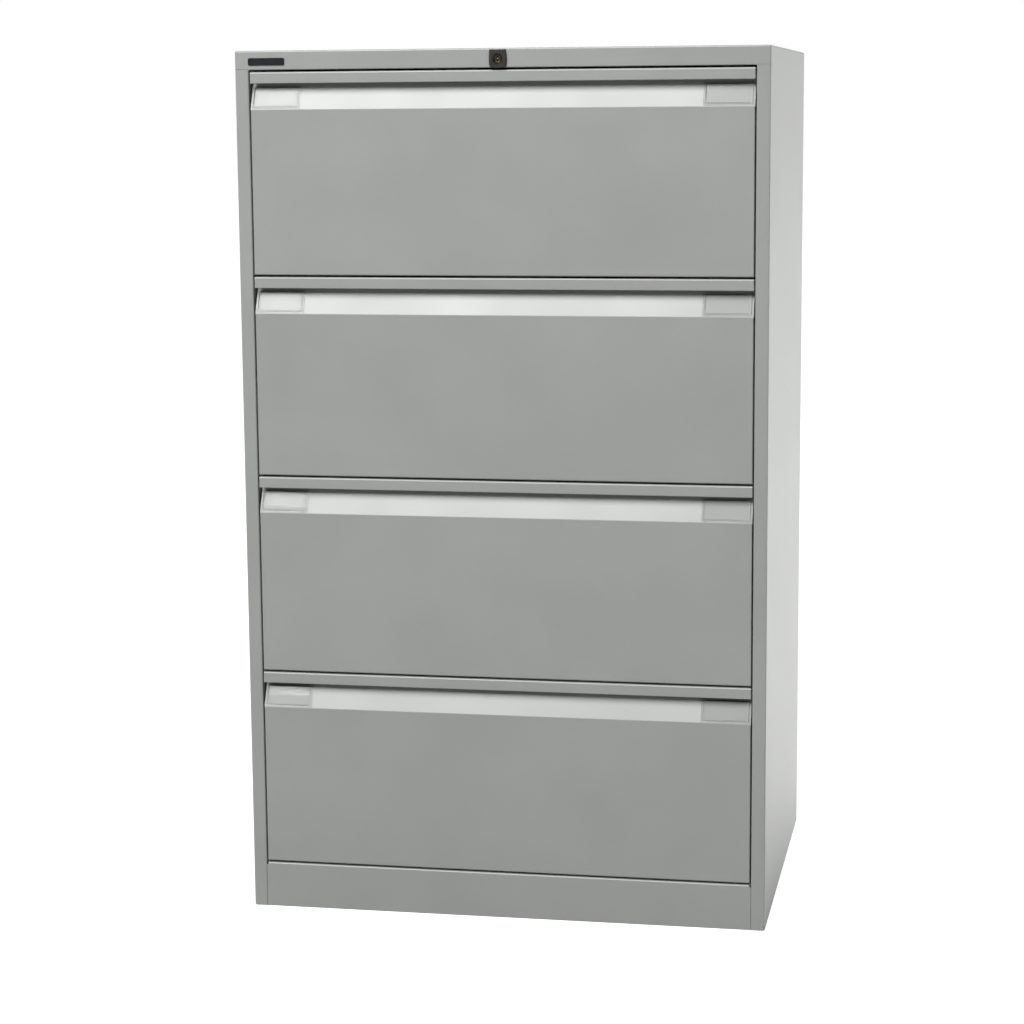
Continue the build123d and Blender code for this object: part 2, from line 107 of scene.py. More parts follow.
def powder_coat(name, colour, shade, gloss):
    """Polyester powder with aluminium flake, sprayed on phosphated steel and baked.

    It gives a satin film with a fine orange peel, tiny flake sparkle and slow ripples of the thin sheet.
    """
    material, tree, place = start_material(name)
    # thin sheet ripples by about a millimetre between its folds
    ripple = add(tree, "ShaderNodeTexNoise", {"Scale": per_size(240), "Detail": 1.0}, {"Vector": place})
    rippled = add(tree, "ShaderNodeBump", {"Strength": 1.0, "Distance": 1.2 * MM}, {"Height": ripple})
    # real peel is about 1.5 mm from crest to crest; it is drawn at 3 mm so that it shows
    peel = add(tree, "ShaderNodeTexNoise", {"Scale": per_size(3.0), "Detail": 2.0}, {"Vector": place})
    peeled = add(
        tree,
        "ShaderNodeBump",
        {"Strength": 1.0, "Distance": 0.025 * MM},
        {"Height": peel, "Normal": rippled},
    )
    # flake is 0.03 mm across; it is drawn at 0.8 mm so that it shows
    flake = add(tree, "ShaderNodeTexNoise", {"Scale": per_size(0.8), "Detail": 1.0}, {"Vector": place})
    cloud = add(tree, "ShaderNodeTexNoise", {"Scale": per_size(140), "Detail": 3.0}, {"Vector": place})
    blend = add(tree, "ShaderNodeMath", {"operation": "MULTIPLY_ADD", 1: 0.6}, {0: flake, 2: cloud})
    tint = add(tree, "ShaderNodeValToRGB", {"stops": ((0.45, shade), (1.0, colour))}, {"Fac": blend})
    rubbed = add(
        tree,
        "ShaderNodeMapRange",
        {"From Min": 0.3, "From Max": 0.7, "To Min": gloss - 0.03, "To Max": gloss + 0.03},
        {"Value": cloud},
    )
    paint = add(
        tree,
        "ShaderNodeBsdfPrincipled",
        {"Metallic": 0.27, "IOR": 1.5},
        {"Base Color": tint, "Roughness": rubbed, "Normal": peeled},
    )
    add(tree, "ShaderNodeOutputMaterial", links={"Surface": paint})
    return material


def bright_zinc(name, along):
    """Cold-rolled steel strip, electroplated with zinc and blue passivated.

    It is a grey mirror blurred along the rolling direction, with faint blue and straw clouds.
    """
    material, tree, place = start_material(name)
    # rolling lines are 0.1 mm wide; they are drawn at 0.6 mm so that they show
    stretch = [1.0 if axis != along else 0.02 for axis in "XYZ"]
    lengthwise = add(tree, "ShaderNodeMapping", {"Scale": stretch}, {"Vector": place})
    lines = add(tree, "ShaderNodeTexNoise", {"Scale": per_size(0.6), "Detail": 2.0}, {"Vector": lengthwise})
    scored = add(tree, "ShaderNodeBump", {"Strength": 0.6, "Distance": 0.01 * MM}, {"Height": lines})
    cloud = add(tree, "ShaderNodeTexNoise", {"Scale": per_size(45), "Detail": 3.0}, {"Vector": place})
    tint = add(tree, "ShaderNodeValToRGB", {"stops": ((0.35, "b9bfc6"), (0.7, "c9c8c0"))}, {"Fac": cloud})
    dull = add(tree, "ShaderNodeMapRange", {"To Min": 0.26, "To Max": 0.42}, {"Value": lines})
    zinc = add(
        tree,
        "ShaderNodeBsdfPrincipled",
        {"Metallic": 1.0},
        {"Base Color": tint, "Roughness": dull, "Normal": scored},
    )
    add(tree, "ShaderNodeOutputMaterial", links={"Surface": zinc})
    return material


def moulded(name, colour, worn, grain, depth, gloss, ior, subsurface=0.0):
    """Injection-moulded plastic. Its grain and the grain's depth are in millimetres.

    The spark-eroded mould leaves a fine even grain, whose high spots are slightly polished by handling.
    """
    material, tree, place = start_material(name)
    pores = add(tree, "ShaderNodeTexNoise", {"Scale": per_size(grain), "Detail": 2.0}, {"Vector": place})
    eroded = add(tree, "ShaderNodeBump", {"Strength": 0.8, "Distance": depth * MM}, {"Height": pores})
    cloud = add(tree, "ShaderNodeTexNoise", {"Scale": per_size(9), "Detail": 2.0}, {"Vector": place})
    tint = add(tree, "ShaderNodeValToRGB", {"stops": ((0.3, colour), (0.75, worn))}, {"Fac": cloud})
    dull = add(
        tree, "ShaderNodeMapRange", {"To Min": gloss + 0.06, "To Max": gloss - 0.06}, {"Value": pores}
    )
    plastic = add(
        tree,
        "ShaderNodeBsdfPrincipled",
        {"IOR": ior, "Subsurface Weight": subsurface, "Subsurface Scale": 1.0 * MM},
        {"Base Color": tint, "Roughness": dull, "Normal": eroded},
    )
    add(tree, "ShaderNodeOutputMaterial", links={"Surface": plastic})
    return material


def turned_metal(name, colour, bright, gloss, centre):
    """Die-cast or turned metal with plating: tool rings about its axis show through the plate."""
    material, tree, place = start_material(name)
    moved = add(tree, "ShaderNodeMapping", {"Location": [-c for c in centre]}, {"Vector": place})
    # tool rings are 0.05 mm apart; they are drawn 2.5 mm apart so that they show
    rings = add(
        tree,
        "ShaderNodeTexWave",
        {
            "wave_type": "RINGS",
            "rings_direction": "Y",
            "Scale": WAVE_LENGTH * per_size(2.5),
            "Distortion": 0.4,
        },
        {"Vector": moved},
    )
    cut_rings = add(
        tree, "ShaderNodeBump", {"Strength": 0.5, "Distance": 0.01 * MM}, {"Height": rings.outputs["Fac"]}
    )
    cloud = add(tree, "ShaderNodeTexNoise", {"Scale": per_size(3), "Detail": 3.0}, {"Vector": place})
    tint = add(tree, "ShaderNodeValToRGB", {"stops": ((0.0, colour), (1.0, bright))}, {"Fac": cloud})
    dull = add(
        tree, "ShaderNodeMapRange", {"To Min": gloss - 0.05, "To Max": gloss + 0.08}, {"Value": cloud}
    )
    metal = add(
        tree,
        "ShaderNodeBsdfPrincipled",
        {"Metallic": 1.0},
        {"Base Color": tint, "Roughness": dull, "Normal": cut_rings},
    )
    add(tree, "ShaderNodeOutputMaterial", links={"Surface": metal})
    return material


def clear_polystyrene(name):
    """Crystal polystyrene from a polished mould: clear, slightly wavy from shrinkage, with faint scuffs.

    Its steep walls are darkened as painted shade, so they look like dark lines. Lamps shine through it, as
    they do through a thin clear wall, with a painted shadow where they cross a steep wall.
    """
    material, tree, place = start_material(name)
    shrink = add(tree, "ShaderNodeTexNoise", {"Scale": per_size(14), "Detail": 1.0}, {"Vector": place})
    wavy = add(tree, "ShaderNodeBump", {"Strength": 0.5, "Distance": 0.05 * MM}, {"Height": shrink})
    scuffs = add(tree, "ShaderNodeTexNoise", {"Scale": per_size(2.2), "Detail": 4.0}, {"Vector": place})
    dull = add(
        tree,
        "ShaderNodeMapRange",
        {"From Min": 0.45, "From Max": 0.75, "To Min": 0.07, "To Max": 0.14},
        {"Value": scuffs},
    )
    # painted shade: where a wall of the moulding meets the view at a low angle its colour is darkened,
    # standing in for light that is turned aside and trapped inside
    slant = add(tree, "ShaderNodeLayerWeight", {"Blend": 0.5}).outputs["Facing"]
    painted_wall_shade = add(tree, "ShaderNodeValToRGB", {"stops": ((0.16, "ffffff"), (0.32, "565856"))}, {"Fac": slant})
    solid = add(
        tree,
        "ShaderNodeBsdfPrincipled",
        {"IOR": 1.5, "Transmission Weight": 1.0, "Specular Tint": linear("808080")},
        {"Base Color": painted_wall_shade, "Roughness": dull, "Normal": wavy},
    )
    # painted shadow: the lamp light let through is darkened where it crosses a wall of the moulding at a low
    # angle
    painted_wall_shadow = add(tree, "ShaderNodeValToRGB", {"stops": ((0.25, "fdfdfd"), (0.5, "8c8c8c"))}, {"Fac": slant})
    passed = add(tree, "ShaderNodeBsdfTransparent", links={"Color": painted_wall_shadow})
    path = add(tree, "ShaderNodeLightPath").outputs
    surface = solid
    for kind in ("Is Diffuse Ray", "Is Glossy Ray", "Is Shadow Ray"):
        surface = add(tree, "ShaderNodeMixShader", links={0: path[kind], 1: surface, 2: passed})
    add(tree, "ShaderNodeOutputMaterial", links={"Surface": surface})
    return material


# the inside gets a thinner, duller coat than the outside
silver = powder_coat("silver_powder_coat", "b3b5b3", "adafad", 0.50)
silver_inside = powder_coat("silver_powder_coat_inside", "aaadaa", "a2a5a2", 0.55)

# strip is rolled along its length, so each finish is named for the way that its lines run
zinc_along_x = bright_zinc("bright_zinc_strip_crosswise", "X")
zinc_along_y = bright_zinc("bright_zinc_strip_runners", "Y")
zinc_along_z = bright_zinc("bright_zinc_strip_upright", "Z")

# ABS is a soft warm black, polypropylene a duller, greasy one, and the badge's polished ABS is glossy;
# natural nylon is milky, because light goes a little way into it
black_abs = moulded("black_abs", "2a2722", "36322c", 0.7, 0.03, 0.45, 1.54)
black_polypropylene = moulded("black_polypropylene", "1a1b1c", "242526", 0.8, 0.05, 0.5, 1.49)
natural_nylon = moulded("natural_nylon", "ddd7c4", "e9e4d6", 0.8, 0.03, 0.42, 1.53, 0.2)
badge_abs = moulded("badge_gloss_abs", "26282b", "2d2f33", 0.9, 0.01, 0.22, 1.54)

# black nickel on a zinc casting is a warm dark mirror; bare steel is a bright one
lock_axis = Vector((0.0, 0.0, LOCK_HEIGHT))
black_nickel = turned_metal("black_nickel_die_casting", "4a463e", "686258", 0.32, lock_axis)
polished_steel = turned_metal("polished_steel", "d0d2d2", "e4e5e5", 0.24, lock_axis)

clear_plastic = clear_polystyrene("clear_polystyrene")


# ---------------------------------------------------------------- shared shapes


def as_mesh(name, shape):
    """The bmesh as a mesh with outward faces."""
    bmesh.ops.remove_doubles(shape, verts=shape.verts, dist=1e-7)
    bmesh.ops.recalc_face_normals(shape, faces=shape.faces)
    mesh = bpy.data.meshes.new(name)
    shape.to_mesh(mesh)
    shape.free()
    return mesh


def finish(node, material):
    """Gives a frame node its finish."""
    mesh = nodes[node].data
    mesh.materials.clear()
    mesh.materials.append(material)


def put(name, mesh, material, body, stands_for=(), smooth_angle=35):
    """Makes the mesh a finished piece that rides on its body."""
    piece = bpy.data.objects.new(name, mesh)
    scene.collection.objects.link(piece)
    mesh.materials.clear()
    mesh.materials.append(material)
    for face in mesh.polygons:
        face.material_index = 0
    mesh.shade_smooth()
    mesh.set_sharp_from_angle(angle=math.radians(smooth_angle))
    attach(piece, body)
    if stands_for:
        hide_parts(*stands_for)


def lathe(shape, profile, steps, place=Matrix.Identity(4)):
    """Turns a profile of (radius, height) in millimetres about Z into a closed solid; place then moves it."""
    rings = []
    for radius, height in profile:
        if radius == 0:
            rings.append([shape.verts.new(place @ Vector((0, 0, height * MM)))])
            continue
        ring = []
        for step in range(steps):
            angle = 2 * math.pi * step / steps
            spot = Vector((radius * math.cos(angle), radius * math.sin(angle), height)) * MM
            ring.append(shape.verts.new(place @ spot))
        rings.append(ring)
    for low, high in zip(rings, rings[1:]):
        for step in range(steps):
            after = (step + 1) % steps
            corners = [
                low[step % len(low)],
                low[after % len(low)],
                high[after % len(high)],
                high[step % len(high)],
            ]
            # at a pole two corners are the same point
            shape.faces.new(list(dict.fromkeys(corners)))
    for ring in (rings[0], rings[-1]):
        if len(ring) > 1:
            shape.faces.new(ring)


def turned(name, profile, steps):
    """One lathe shape as a mesh."""
    shape = bmesh.new()
    lathe(shape, profile, steps)
    return as_mesh(name, shape)


def block(shape, low, high):
    """Adds a box between two corners."""
    size = Vector(high) - Vector(low)
    centre = (Vector(high) + Vector(low)) / 2
    bmesh.ops.create_cube(shape, size=1.0, matrix=Matrix.Translation(centre) @ Matrix.Diagonal((*size, 1.0)))


def stack(shape, rings):
    """Closed skin through rings of points that have the same count."""
    for below, above in zip(rings, rings[1:]):
        for i in range(len(below)):
            j = (i + 1) % len(below)
            shape.faces.new((below[i], below[j], above[j], above[i]))
    shape.faces.new(rings[0])
    shape.faces.new(rings[-1])


def cut(mesh, tool):
    """The mesh less the tool's closed solids."""
    body = bpy.data.objects.new("being_cut", mesh)
    cutter = bpy.data.objects.new("cutter", tool)
    for thing in (body, cutter):
        scene.collection.objects.link(thing)
    boolean = body.modifiers.new("cut", "BOOLEAN")
    boolean.operation = "DIFFERENCE"
    boolean.solver = "EXACT"
    boolean.object = cutter
    result = bpy.data.meshes.new_from_object(body.evaluated_get(bpy.context.evaluated_depsgraph_get()))
    for thing in (body, cutter):
        bpy.data.objects.remove(thing)
    return result


def joined(*meshes):
    """Several meshes as one."""
    shape = bmesh.new()
    for mesh in meshes:
        shape.from_mesh(mesh)
    mesh = bpy.data.meshes.new("joined")
    shape.to_mesh(mesh)
    shape.free()
    return mesh


# ---------------------------------------------------------------- fittings set out along lines


def fittings_tree():
    """Sets copies of a small fitting along every edge of a mesh.

    They are evenly spaced, and each is turned at random on its own axis by up to Spin.
    """
    tree = bpy.data.node_groups.new("fittings_along_lines", "GeometryNodeTree")
    for name, kind in (
        ("Lines", "NodeSocketGeometry"),
        ("Fitting", "NodeSocketObject"),
        ("Spacing", "NodeSocketFloat"),
        ("Turn", "NodeSocketRotation"),
        ("Spin", "NodeSocketFloat"),
        ("Seed", "NodeSocketInt"),
        ("Finish", "NodeSocketMaterial"),
    ):
        tree.interface.new_socket(name, in_out="INPUT", socket_type=kind)
    tree.interface.new_socket("Fittings", in_out="OUTPUT", socket_type="NodeSocketGeometry")
    given = add(tree, "NodeGroupInput").outputs
    curves = add(tree, "GeometryNodeMeshToCurve", links={"Mesh": given["Lines"]})
    spots = add(
        tree,
        "GeometryNodeResampleCurve",
        {"mode": "LENGTH"},
        {"Curve": curves, "Length": given["Spacing"]},
    )
    fitting = add(tree, "GeometryNodeObjectInfo", links={"Object": given["Fitting"]})
    spin = add(
        tree,
        "FunctionNodeRandomValue",
        {"data_type": "FLOAT"},
        {"Max": given["Spin"], "Seed": given["Seed"]},
    )
    about_axis = add(tree, "ShaderNodeCombineXYZ", links={"Z": spin.outputs[1]})
    own_turn = add(tree, "FunctionNodeEulerToRotation", links={"Euler": about_axis})
    both_turns = add(
        tree,
        "FunctionNodeRotateRotation",
        {"rotation_space": "LOCAL"},
        {"Rotation": given["Turn"], "Rotate By": own_turn},
    )
    placed = add(
        tree,
        "GeometryNodeInstanceOnPoints",
        links={"Points": spots, "Instance": fitting.outputs["Geometry"], "Rotation": both_turns},
    )
    real = add(tree, "GeometryNodeRealizeInstances", links={"Geometry": placed})
    finished = add(
        tree, "GeometryNodeSetMaterial", links={"Geometry": real, "Material": given["Finish"]}
    )
    add(tree, "NodeGroupOutput", links={"Fittings": finished})
    return tree


FITTINGS = fittings_tree()

# A fitting is drawn about the origin with its axis along +Z, and turned to face one of these ways.
TO_BACK = (math.radians(-90), 0.0, 0.0)
TO_RIGHT = (0.0, math.radians(90), 0.0)
TO_LEFT = (0.0, math.radians(-90), 0.0)
UP = (0.0, 0.0, 0.0)


def set_out(fitting, lines, spacing, turn, material, spin=0.0, seed=1):
    """The fitting's mesh repeated along the lines, each a pair of end points."""
    guide = bpy.data.meshes.new("guide_lines")
    points = [Vector(end) for line in lines for end in line]
    guide.from_pydata(points, [(2 * i, 2 * i + 1) for i in range(len(lines))], [])
    rows = bpy.data.objects.new("fitting_rows", guide)
    pattern = bpy.data.objects.new("fitting_pattern", fitting)
    for thing in (rows, pattern):
        scene.collection.objects.link(thing)
    modifier = rows.modifiers.new("set_out", "NODES")
    modifier.node_group = FITTINGS
    sockets = {item.name: item.identifier for item in FITTINGS.interface.items_tree if item.in_out == "INPUT"}
    for name, value in (
        ("Fitting", pattern),
        ("Spacing", spacing),
        ("Turn", turn),
        ("Spin", spin),
        ("Seed", seed),
        ("Finish", material),
    ):
        modifier[sockets[name]] = value
    result = bpy.data.meshes.new_from_object(rows.evaluated_get(bpy.context.evaluated_depsgraph_get()))
    for thing in (rows, pattern):
        bpy.data.objects.remove(thing)
    return result


def weld_mark():
    """Dished print of a spot-welding electrode, five millimetres across."""
    profile = [(2.6, -0.05), (2.45, 0.05), (2.1, 0.09), (1.5, 0.02), (0.7, -0.01), (0, -0.02)]
    return turned("weld_mark", profile, 16)


def rivet_head():
    """Domed head of a four-millimetre blind rivet, with its pulled mandrel hole."""
    profile = [(4.0, 0), (4.0, 0.25), (3.4, 0.85), (2.2, 1.25), (1.2, 1.35), (1.1, 0.9), (0, 0.8)]
    return turned("rivet_head", profile, 20)


def screw_head():
    """Low screw head with a cross recess."""
    profile = [(4.2, -0.02), (4.2, 0.25), (3.9, 0.5), (3.0, 0.62), (0, 0.66)]
    recess = bmesh.new()
    floor, above = 0.15 * MM, 1.5 * MM
    short, long = 0.45 * MM, 2.3 * MM
    for half_x, half_y in ((short, long), (long, short)):
        block(recess, (-half_x, -half_y, floor), (half_x, half_y, above))
    return cut(turned("screw_head", profile, 24), as_mesh("cross_recess", recess))


def steel_ball():
    """Runner ball, 3.5 mm across."""
    shape = bmesh.new()
    bmesh.ops.create_icosphere(shape, subdivisions=2, radius=1.75 * MM)
    return as_mesh("steel_ball", shape)


# ---------------------------------------------------------------- carcase


def dress_carcase():
    """Finishes of the carcase's own sheets and fittings."""
    for name in ("top_panel", "back_panel", "base_panel", "plinth_panel"):
        finish(name, silver)
    for side, _ in SIDES:
        finish(f"side_panel_{side}", silver)
        finish(f"runner_uprights_{side}", silver_inside)
    for number in DRAWERS:
        finish(f"runner_outer_{number}", zinc_along_y)
    finish("lock_bezel", black_abs)
    finish("lock_housing", black_nickel)
    finish("lock_nut", zinc_along_x)
    finish("lock_guides", natural_nylon)


def badge():
    """Plain badge with a raised rim and no lettering."""
    low, high = box["blank_badge"]
    centre = (low + high) / 2
    half_width, half_height = (high.x - low.x) / 2, (high.z - low.z) / 2
    thick = high.y - low.y
    floor = thick * 0.7
    edge_round, rim, rim_slope = 0.4 * MM, 0.9 * MM, 0.3 * MM
    corner, sharpest_corner = 2.4 * MM, 0.6 * MM
    shape = bmesh.new()
    rings = []
    # each ring is a rounded rectangle, by how far it is inset and how far it stands forward
    for inset, forward in ((0, 0), (0, floor), (edge_round, thick), (rim, thick), (rim + rim_slope, floor)):
        radius = max(corner - inset, sharpest_corner)
        ring = []
        for quarter, (sx, sz) in enumerate(((1, 1), (-1, 1), (-1, -1), (1, -1))):
            for step in range(7):
                angle = math.radians(90 * quarter + 15 * step)  # seven points round each corner
                x = sx * (half_width - inset - radius) + radius * math.cos(angle)
                z = sz * (half_height - inset - radius) + radius * math.sin(angle)
                ring.append(shape.verts.new((centre.x + x, high.y - forward, centre.z + z)))
        rings.append(ring)
    stack(shape, rings)
    put("badge_plate", as_mesh("badge_plate", shape), badge_abs, "carcase", ["blank_badge"])


def threaded_rod(shape, radius, pitch, low, high, x, y):
    """Rod with a helical thread."""
    steps, rings_per_turn = 20, 6
    thread_depth = 0.61 * pitch
    count = int((high - low) / pitch * rings_per_turn) + 1
    rings = []
    for index in range(count + 1):
        height = low + (high - low) * index / count
        ring = []
        for step in range(steps):
            turn = (height / pitch + step / steps) % 1.0
            reach = radius - thread_depth * abs(2 * turn - 1)
            angle = 2 * math.pi * step / steps
            ring.append(shape.verts.new((x + reach * math.cos(angle), y + reach * math.sin(angle), height)))
        rings.append(ring)
    stack(shape, rings)


def levelling_feet():
    """Four glides: a moulded disc with a gripped rim, a threaded stud and its two hexagons."""
    low, high = box["levelling_feet"]
    disc_radius, disc_height = 12.0 * MM, 5.0
    stud_radius, stud_pitch, stud_bottom = 4.0 * MM, 1.25 * MM, 4.5 * MM
    disc = [(10.6, 0), (11.6, 0.4), (12.0, 1.2), (12.0, 3.4), (11.5, 4.3), (10.2, 4.9), (6.0, disc_height)]
    # hexagon for the spanner under the carcase's flange, and the lock nut above the flange
    hexagons = ((disc_height, 9.0), (15.0, 21.4))
    chamfer, flat, point = 0.7, 6.6, 7.4
    discs, metal = bmesh.new(), bmesh.new()
    for x in (low.x + disc_radius, high.x - disc_radius):
        for y in (low.y + disc_radius, high.y - disc_radius):
            place = Matrix.Translation((x, y, 0))
            lathe(discs, disc, 36, place)
            threaded_rod(metal, stud_radius, stud_pitch, stud_bottom, high.z, x, y)
            for bottom, top in hexagons:
                profile = [(flat, bottom), (point, bottom + chamfer), (point, top - chamfer), (flat, top)]
                lathe(metal, profile, 6, place)
    glides = as_mesh("levelling_glides", discs)
    put("levelling_glides", glides, black_polypropylene, "carcase", ["levelling_feet"])
    put("levelling_studs", as_mesh("levelling_studs", metal), zinc_along_z, "carcase")


def plinth_returns():
    """Angle pieces behind the plinth's ends, where it is welded to the stiles."""
    low, high = box["plinth_panel"]
    inner_face = low.y + 1.0 * MM
    bottom, top = low.z + 1.0 * MM, high.z - 4.0 * MM
    sheet, depth, width, clearance = 1.0 * MM, 22.0 * MM, 14.0 * MM, 0.2 * MM
    outline = [(0, 0), (width, 0), (width, sheet), (sheet, sheet), (sheet, depth), (0, depth)]
    shape = bmesh.new()
    for _, sign in SIDES:
        edge = sign * (high.x + clearance)
        rings = [
            [shape.verts.new((edge - sign * x, inner_face + y, level)) for x, y in outline]
            for level in (bottom, top)
        ]
        stack(shape, rings)
    put("plinth_returns", as_mesh("plinth_returns", shape), silver_inside, "carcase")


def carcase_fittings():
    """Runner screws with cross recesses, and the prints of the spot welds on the back panel."""
    screws_low, screws_high = box["runner_screws"]
    head_radius = 4.2 * MM
    heads = []
    for _, sign in SIDES:
        lines = []
        for number in DRAWERS:
            low, high = box[f"runner_outer_{number}"]
            web = sign * (high.x - RUNNER_SHEET)
            height = (low.z + high.z) / 2
            ends = (screws_low.y + head_radius, screws_high.y - head_radius)
            lines.append([(web, y, height) for y in ends])
        # one screw at each end of the line
        reach = lines[0][1][1] - lines[0][0][1]
        facing = TO_RIGHT if sign < 0 else TO_LEFT
        heads.append(set_out(screw_head(), lines, reach, facing, zinc_along_y, math.pi / 2, 3))
    put("runner_screw_heads", joined(*heads), zinc_along_y, "carcase", ["runner_screws"])

    low, high = box["back_panel"]
    half_row, outer_face = 360 * MM, high.y + 0.02 * MM
    rows = [
        ((-half_row, outer_face, z), (half_row, outer_face, z)) for z in (low.z + 45 * MM, high.z - 14 * MM)
    ]
    marks = set_out(weld_mark(), rows, 80 * MM, TO_BACK, silver)
    put("carcase_weld_marks", marks, silver, "carcase")


# ---------------------------------------------------------------- drawers

# Folds of a drawer front, down from its top edge, and how far back its slope runs.
STRIP_HEIGHT = 17.0 * MM
SLOPE_FOOT = 55.5 * MM
SLOPE_RUN = 16.0 * MM


def on_slope(number, left_edge):
    """Matrix that takes millimetres along a drawer's slope, up it and out of it to the cabinet."""
    front_low, front_high = box[f"drawer_front_{number}"]
    rise = math.atan2(SLOPE_FOOT - STRIP_HEIGHT, SLOPE_RUN)
    along = Vector((1, 0, 0))
    up = Vector((0, math.cos(rise), math.sin(rise)))
    out = Vector((0, -math.sin(rise), math.cos(rise)))
    foot = Vector((left_edge, front_low.y, front_high.z - SLOPE_FOOT))
    turn = Matrix((along, up, out)).transposed().to_4x4()
    return Matrix.Translation(foot) @ turn @ Matrix.Diagonal((MM, MM, MM, 1.0))


def label_holder(side, sign, number):
    """Clear holder on the slope: thin flange, raised crowned window with bevelled walls and a card slot."""
    node = f"label_holder_{side}_{number}"
    low, high = box[node]
    place = on_slope(number, low.x)
    # all in millimetres: u runs along the drawer and v up the slope
    length = (high.x - low.x) / MM
    bottom, top = 1.6, 37.0
    window_low, window_high = 3.6, 35.0
    middle = (window_low + window_high) / 2
    underside, flange, shoulder, crown = 0.02, 0.9, 2.5, 3.2
    end_flange, end_bevel, lower_bevel, upper_bevel = 2.0, 3.0, 1.0, 1.4
    step, rounding, wall_foot = 0.08, 0.3, 0.35

    def height(u, v):
        """Thickness of the moulding at a point of its outline."""
        along = (min(u, length - u) - end_flange) / end_bevel
        inset = min(along, (v - window_low) / lower_bevel, (window_high - v) / upper_bevel)
        if inset <= 0:
            at_edge = min(u, length - u, v - bottom, top - v) < 0.1
            return flange - (rounding if at_edge else 0.0)
        bow = 1 - ((v - middle) / (window_high - middle)) ** 2
        wall = wall_foot + (1 - wall_foot) * min(inset, 1.0)
        return flange + wall * (shoulder + (crown - shoulder) * bow - flange)

    one_end = [0, 0.35, 2.0, 2.6, 3.2, 3.9, 4.5, 5.0]
    other_end = [length - u for u in one_end[::-1]]
    stations_u = one_end + [length * part / 10 for part in range(1, 10)] + other_end
    face_low, face_high = window_low + lower_bevel, window_high - upper_bevel
    face_v = [face_low + (face_high - face_low) * part / 12 for part in range(13)]
    window_v = [window_low + step, *face_v, window_high - upper_bevel / 2, window_high - step]
    stations_v = [bottom, bottom + 0.35, window_low - step, *window_v, window_high + step, top - 0.35, top]
    shape = bmesh.new()
    upper = [[shape.verts.new(place @ Vector((u, v, height(u, v)))) for v in stations_v] for u in stations_u]
    lower = [[shape.verts.new(place @ Vector((u, v, underside))) for v in stations_v] for u in stations_u]
    last_u, last_v = len(stations_u) - 1, len(stations_v) - 1
    for i in range(last_u):
        for j in range(last_v):
            for sheet in (upper, lower):
                shape.faces.new((sheet[i][j], sheet[i + 1][j], sheet[i + 1][j + 1], sheet[i][j + 1]))
    for j in range(last_v):
        for i in (0, last_u):
            shape.faces.new((upper[i][j], upper[i][j + 1], lower[i][j + 1], lower[i][j]))
    for i in range(last_u):
        for j in (0, last_v):
            shape.faces.new((upper[i][j], upper[i + 1][j], lower[i + 1][j], lower[i][j]))

    # the card slides in from the end at the drawer's edge
    closed_end, slot_margin, slot_floor, slot_roof = 6.0, 1.5, 1.1, 1.9
    slot_start, slot_stop = (closed_end, length + 1) if sign < 0 else (-1, length - closed_end)
    slot = bmesh.new()
    block(
        slot,
        (slot_start, window_low + slot_margin, slot_floor),
        (slot_stop, window_high - slot_margin, slot_roof),
    )
    slot.transform(place)
    mesh = cut(as_mesh("label_holder", shape), as_mesh("card_slot", slot))
    put(f"clear_holder_{side}_{number}", mesh, clear_plastic, f"drawer_{number}", [node], 20)


def drawer_rivets(number):
    """Rivets that hold the inner runner members to the tray's sides."""
    _, tray_high = box[f"drawer_tray_{number}"]
    low, high = box[f"runner_inner_{number}"]
    height = (low.z + high.z) / 2
    end_distance, spacing = 30 * MM, 120 * MM
    rivets = []
    for _, sign in SIDES:
        web = sign * (tray_high.x + RUNNER_SHEET)
        facing = TO_RIGHT if sign > 0 else TO_LEFT
        line = ((web, low.y + end_distance, height), (web, high.y - end_distance, height))
        rivets.append(set_out(rivet_head(), [line], spacing, facing, zinc_along_y))
    put(f"runner_rivets_{number}", joined(*rivets), zinc_along_y, f"drawer_{number}")


def drawer_weld_marks(number):
    """Prints of the spot welds on the tray's back and on the inner front panel."""
    tray_low, tray_high = box[f"drawer_tray_{number}"]
    tray_edge = tray_high.x - 10 * MM
    tray_rows = [
        ((-tray_edge, tray_high.y, z), (tray_edge, tray_high.y, z))
        for z in (tray_high.z - 8 * MM, tray_low.z + 10 * MM)
    ]
    _, panel_high = box[f"drawer_inner_panel_{number}"]
    panel_edge, row = panel_high.x - 6 * MM, panel_high.z - 7 * MM
    panel_row = ((-panel_edge, panel_high.y, row), (panel_edge, panel_high.y, row))
    marks = joined(
        set_out(weld_mark(), tray_rows, 72 * MM, TO_BACK, silver_inside),
        set_out(weld_mark(), [panel_row], 68 * MM, TO_BACK, silver_inside),
    )
    put(f"drawer_weld_marks_{number}", marks, silver_inside, f"drawer_{number}")


def dress_drawer(number):
    """Finishes and fittings of one drawer."""
    finish(f"drawer_front_{number}", silver)
    for name in ("drawer_inner_panel", "drawer_tray"):
        finish(f"{name}_{number}", silver_inside)
    for name in ("runner_inner", "file_rails", "lock_catch", "runner_middle"):
        finish(f"{name}_{number}", zinc_along_y)
    for side, sign in SIDES:
        label_holder(side, sign, number)
    drawer_rivets(number)
    drawer_weld_marks(number)


